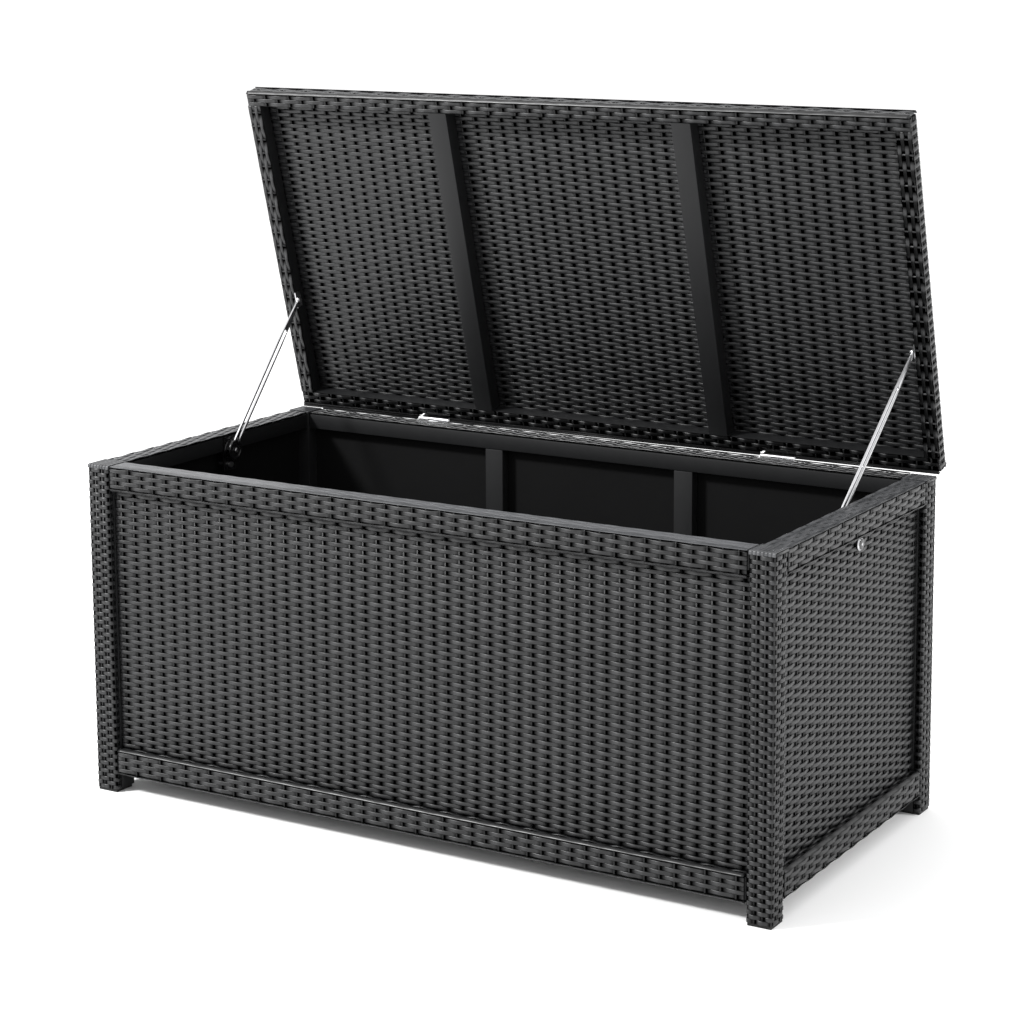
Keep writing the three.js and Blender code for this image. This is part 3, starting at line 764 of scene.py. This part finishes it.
def lay_ends(strands):
    """The border under the lid's left and right ends, and two stakes along each of those ends' skirts."""
    y0, y1 = BORDER_FRONT, BORDER_REAR
    stakes = round((y1 - y0) / STAKE_PITCH)
    y = np.linspace(y0, y1, stakes * SAMPLES + 1)
    rows = round(LID_BORDER / ROW_PITCH)
    for x_end, inwards in ((LID_LOW[0], 1), (LID_HIGH[0], -1)):
        # painted shade on the border under the lid's right end
        gleam = LIP_SHADE if inwards < 0 else 0.0
        for j in range(rows):
            x = x_end + inwards * (END_INSET + (j + 0.5) * (LID_BORDER - END_INSET) / rows)
            spots = np.stack([np.full_like(y, x), y, np.full_like(y, BASE)], axis=1)
            phase = (y - y0) / (y1 - y0) * stakes - 0.5 + j
            lid_weaver(strands, spots, np.tile([0.0, 0.0, -1.0], (len(y), 1)), phase, 0.0, gleam)
        for i in range(stakes):
            across = y0 + (i + 0.5) * (y1 - y0) / stakes
            ends = [[x_end + inwards * reach, across, BASE] for reach in (END_STAKE_START, LID_BORDER)]
            lid_strip(strands, ends, [0.0, 0.0, -1.0], STAKE_WIDTH, STAKE_THICK)
        for z in (BASE + SKIRT_STAKE_INSET, TOP - SKIRT_STAKE_INSET):
            ends = [[x_end + inwards * MIDDLE_INSET, end_y, z]
                    for end_y in (LID_LOW[1] + CLADDING, LID_HIGH[1] - CLADDING)]
            lid_strip(strands, ends, [-inwards, 0.0, 0.0], STAKE_WIDTH, STAKE_THICK)


def close_edges(rear_half, front_half):
    """The binding and the sloping lower edge along the rear border, clear of the hinges, and a strand
    behind each long top edge, all darkened with painted shade."""
    for x0, x1 in RUNS:
        ends = [[x, LID_HIGH[1] - BINDING_INSET, LID_LOW[2] + BINDING_HEIGHT] for x in (x0, x1)]
        lid_strip(rear_half, ends, [0.0, 0.0, -1.0], BINDING_WIDTH, gleam=LIP_SHADE)
        edge = np.array([[x, PIN.y, PIN.z + EDGE_LIFT + EDGE_SLOPE * (x - LEFT) / (RIGHT - LEFT)]
                         for x in (x0, x1)])
        rear_half.add(edge, np.tile([0.0, -1.0, 0.0], (2, 1)), EDGE_WIDTH, WEAVER_THICK, gleam=LIP_SHADE)
    for strands, y, side in ((rear_half, LID_HIGH[1] - CORNER_BACKING, 1),
                             (front_half, LID_LOW[1] + CORNER_BACKING, -1)):
        ends = [[x, y, LID_HIGH[2] - CORNER_BACKING] for x in (LEFT + BACKING_INSET, RIGHT - BACKING_INSET)]
        out = [0.0, side * math.sqrt(0.5), math.sqrt(0.5)]
        lid_strip(strands, ends, out, BACKING_WIDTH, gleam=LIP_SHADE)


def make_lid():
    rear_half, front_half, stakes, ends = Strands(), Strands(), Strands(), Strands()
    lay_rows(rear_half, front_half)
    lay_stakes(stakes)
    lay_ends(ends)
    close_edges(rear_half, front_half)
    rear_half.build("lid_weave_rear", "lid", "lid_cover")
    front_half.build("lid_weave_front", "lid", "lid_cover")
    stakes.build("lid_weave_stakes", "lid", "lid_cover")
    ends.build("lid_weave_ends", "lid", "lid_cover")
    for node_name in ("lid_cross_bar_1", "lid_cross_bar_2", "lid_frame_left", "lid_frame_right",
                      "lid_frame_front", "lid_frame_rear"):
        make_bar(node_name, "lid")


make_lid()


# ---------------------------------------------------------------- stays and hinges
EYE_RADIUS = 6 * MM
NECK_DROP = EYE_RADIUS * 0.866
NECK_STEP = 0.1 * MM
ARM_HALF = 7 * MM
ARM_HALF_THICK = 1.5 * MM
NECK_HALF = 3 * MM
ARM_TAPER = 94 * MM
SLOT_HALF = 3.4 * MM
SLOT_LENGTH = 250 * MM
FOOT_RIVET_REACH = 22 * MM

# radius and height of each rivet's head, the part of its height that is upright, and of its radius on top
FOOT_RIVET = (2.6 * MM, 1.0 * MM)
EYE_RIVET = (5.2 * MM, 2.6 * MM)
RIVET_EDGE = 0.6
RIVET_CROWN = 0.72

# the blocks between a drum's discs, on both sides of the arm: where each starts and stops, and half sizes
SPACER_NEAR = 7.6 * MM
SPACER_FAR = 12.5 * MM
SPACER_WIDE = 9 * MM
SPACER_DEEP = 3.4 * MM

# turned profiles in millimetres: radius, height
COLLAR = ((6.6, 0), (6.6, 0.5), (6.2, 0.8))
DRUM_DISC = ((16.2, 3.2), (17.0, 3.9), (17.0, 6.0), (16.0, 7.0), (12.6, 7.0), (12.0, 6.3), (9.0, 6.3))
NUT = ((4.4, 7.3), (4.8, 7.6), (4.8, 8.6), (4.2, 9.2))
BOLT_DISH = ((8.2, -0.9), (8.2, 0.15), (7.6, 0.3))
BOLT_CENTRE = ((2.4, 0.2), (2.4, 0.6), (1.4, 0.9))
SCREW_HEAD = ((3.0, 0), (2.8, 0.6), (1.4, 1.2))

# a hinge's screws: in from a leaf's ends, above or below the pin, and each leaf's face from the pin
SCREW_MARGIN = 9 * MM
SCREW_RISE = 16 * MM
BOX_LEAF_FACE = -2.4 * MM
LID_LEAF_FACE = 1.8 * MM


def axes_at(place, x_axis, y_axis, z_axis):
    turn = Matrix((x_axis, y_axis, z_axis)).transposed().to_4x4()
    return Matrix.Translation(place) @ turn


def arc(x, y, radius, first, last, count=13):
    swing = np.radians(np.linspace(first, last, count))
    return [(x + radius * math.cos(a), y + radius * math.sin(a)) for a in swing]


def from_millimetres(profile, way=1, base=0.0):
    """A turned profile in metres, its heights counted from base and mirrored when way is -1."""
    return [(radius * MM, base + way * height * MM) for radius, height in profile]


def slotted(outline, slot, frame_at, half):
    """A flat bar of an outline with one slot through it."""
    loops = [[Vector((a, b, 0)) for a, b in ring] for ring in (outline, slot)]
    flat = loops[0] + loops[1]
    triangles = tessellate_polygon(loops)
    n = len(flat)
    points = [frame_at @ Vector((v.x, v.y, z)) for z in (-half, half) for v in flat]
    faces = [tuple(t) for t in triangles] + [tuple(k + n for k in t) for t in triangles]
    for first, count in ((0, len(loops[0])), (len(loops[0]), len(loops[1]))):
        for k in range(count):
            here, after = first + k, first + (k + 1) % count
            faces.append((here, after, after + n, here + n))
    return points, faces


def make_stay(side):
    centre = Vector(JOINTS[f"{side}_stay_swivel"]["pos_m"])
    along = Vector(JOINTS[f"{side}_stay_slide"]["axis"]).normalized()
    face = (Vector((1, 0, 0)) - along * along.x).normalized()
    arm_at = axes_at(centre, along.cross(face), along, face)
    arm = frame["nodes"][f"{side}_stay_arm"]
    length = max((v.co - centre) @ along for v in arm.data.vertices) - EYE_RADIUS
    outline = arc(0, 0, ARM_HALF, 180, 360)
    outline += [(ARM_HALF, length - ARM_TAPER), (NECK_HALF, length - NECK_DROP)]
    outline += arc(0, length, EYE_RADIUS, -60, 240, 19)
    outline += [(-NECK_HALF, length - NECK_DROP - NECK_STEP), (-ARM_HALF, length - ARM_TAPER)]
    slot = arc(0, 0, SLOT_HALF, 180, 360, 9) + arc(0, SLOT_LENGTH, SLOT_HALF, 0, 180, 9)
    half = ARM_HALF_THICK
    bar = slotted(outline, slot, arm_at, half)
    solid(f"{side}_stay_arm_bar", f"{side}_stay_arm_body", "zinc", [bar], f"{side}_stay_arm", 0.3 * MM)
    inwards = Matrix.Rotation(0 if side == "left" else math.pi, 4, "X")
    shapes = []
    for reach, (radius, tall) in ((FOOT_RIVET_REACH, FOOT_RIVET), (length, EYE_RIVET)):
        spot = arm_at @ Matrix.Translation((0, reach, 0)) @ inwards
        head = [(radius, half), (radius, half + tall * RIVET_EDGE), (radius * RIVET_CROWN, half + tall)]
        shapes.append(turned(head, spot))
    solid(f"{side}_stay_arm_rivets", f"{side}_stay_arm_body", "zinc", shapes)
    collar_at = arm_at @ Matrix.Translation((0, length, 0)) @ inwards
    collar = turned(from_millimetres(COLLAR, base=half), collar_at)
    solid(f"{side}_stay_arm_collar", f"{side}_stay_arm_body", "black_fitting", [collar])

    drum_at = axes_at(centre, Vector((0, 1, 0)), Vector((0, 0, 1)), Vector((1, 0, 0)))
    discs = []
    for way in (1, -1):
        discs.append(turned(from_millimetres(DRUM_DISC, way), drum_at, 48))
    width = along.cross(Vector((1, 0, 0))).normalized()
    spacer_at = axes_at(centre, width, Vector((1, 0, 0)).cross(width), Vector((1, 0, 0)))
    for way in (1, -1):
        first, last = sorted((way * SPACER_NEAR, way * SPACER_FAR))
        low, high = (first, -SPACER_WIDE, -SPACER_DEEP), (last, SPACER_WIDE, SPACER_DEEP)
        discs.append(box_shape(low, high, spacer_at))
    solid(f"{side}_stay_drum_discs", f"{side}_stay_swivel_body", "black_fitting", discs, f"{side}_stay_drum")

    nut_at = drum_at @ inwards
    solid(f"{side}_stay_nut", "box_body", "zinc", [turned(from_millimetres(NUT), nut_at, 6)])


def make_bolt_face(side):
    """A flat dark dish inside the bolt's bright rim, painted shade for the recess in the bolt's cap, round a zinc
    centre.
    """
    sign = -1 if side == "left" else 1
    low, high = (Vector(v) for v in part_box(f"{side}_stay_bolt"))
    middle = (low + high) / 2
    middle.x = high.x if sign > 0 else low.x
    face_at = axes_at(middle, Vector((0, 1, 0)), Vector((0, 0, 1)), Vector((1, 0, 0)))
    dish = turned(from_millimetres(BOLT_DISH, sign), face_at)
    centre = turned(from_millimetres(BOLT_CENTRE, sign), face_at)
    # painted shade: a black disc laid in the recess of the bolt's cap
    solid(f"{side}_stay_bolt_dish", "box_body", "black_fitting", [dish])
    solid(f"{side}_stay_bolt_centre", "box_body", "zinc", [centre])


def make_hinge_screws(side):
    """Three domed heads on each leaf of a hinge."""
    backwards = Matrix.Rotation(-math.pi / 2, 4, "X")
    for leaf, body, turn, rise, face in (
            (f"{side}_hinge_box_leaf", "box_body", UPRIGHT, -SCREW_RISE, BOX_LEAF_FACE),
            (f"{side}_hinge_lid_leaf", "lid", OPEN_LID, SCREW_RISE, LID_LEAF_FACE)):
        low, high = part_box(leaf) if body == "box_body" else shut_box(leaf)
        heads = []
        for x in np.linspace(low[0] + SCREW_MARGIN, high[0] - SCREW_MARGIN, 3):
            spot = turn @ Matrix.Translation((x, PIN.y + face, PIN.z + rise)) @ backwards
            heads.append(turned(from_millimetres(SCREW_HEAD), spot, 20))
        solid(f"{leaf}_screws", body, "zinc", heads)


for side in ("left", "right"):
    make_stay(side)
    make_bolt_face(side)
    make_hinge_screws(side)

# ---------------------------------------------------------------- floor, light and camera
bpy.ops.mesh.primitive_plane_add(size=600, location=(0, 0, 0))
floor = bpy.context.object
floor.name = "floor"
floor_material, _, floor_shader = new_material("floor")
floor_shader.inputs["Base Color"].default_value = (0.93, 0.93, 0.93, 1)
floor_shader.inputs["Roughness"].default_value = 0.9
floor.data.materials.append(floor_material)

world = bpy.data.worlds.new("studio")
bpy.context.scene.world = world
world.use_nodes = True
world.node_tree.nodes["Background"].inputs["Color"].default_value = (1, 1, 1, 1)
world.node_tree.nodes["Background"].inputs["Strength"].default_value = 1.15


def area_light(name, place, target, size, power):
    light = bpy.data.lights.new(name, "AREA")
    light.shape = "RECTANGLE"
    light.size, light.size_y = size
    light.energy = power
    made = bpy.data.objects.new(name, light)
    bpy.context.scene.collection.objects.link(made)
    made.location = place
    made.rotation_euler = (Vector(target) - Vector(place)).to_track_quat("-Z", "Y").to_euler()


MIDDLE = (0, 0, 0.4)
area_light("key", (-4.4, -4.6, 5.4), MIDDLE, (1.1, 1.1), 880)
area_light("fill", (4.4, 1.6, 2.6), MIDDLE, (0.8, 0.8), 130)

camera_data = bpy.data.cameras.new("camera")
camera = bpy.data.objects.new("camera", camera_data)
bpy.context.scene.collection.objects.link(camera)
bpy.context.scene.camera = camera
YAW, PITCH = math.radians(29.5), math.radians(8.97)
ahead = Vector((-math.sin(YAW) * math.cos(PITCH), math.cos(YAW) * math.cos(PITCH), -math.sin(PITCH)))
camera.location = (2.0484, -3.3447, 1.3659)
camera.rotation_euler = ahead.to_track_quat("-Z", "Y").to_euler()
camera_data.sensor_width = 36
camera_data.lens = 88.95
camera_data.shift_x = -0.085
camera_data.shift_y = -0.17
camera_data.clip_end = 1000
bpy.context.scene.view_settings.view_transform = "Standard"
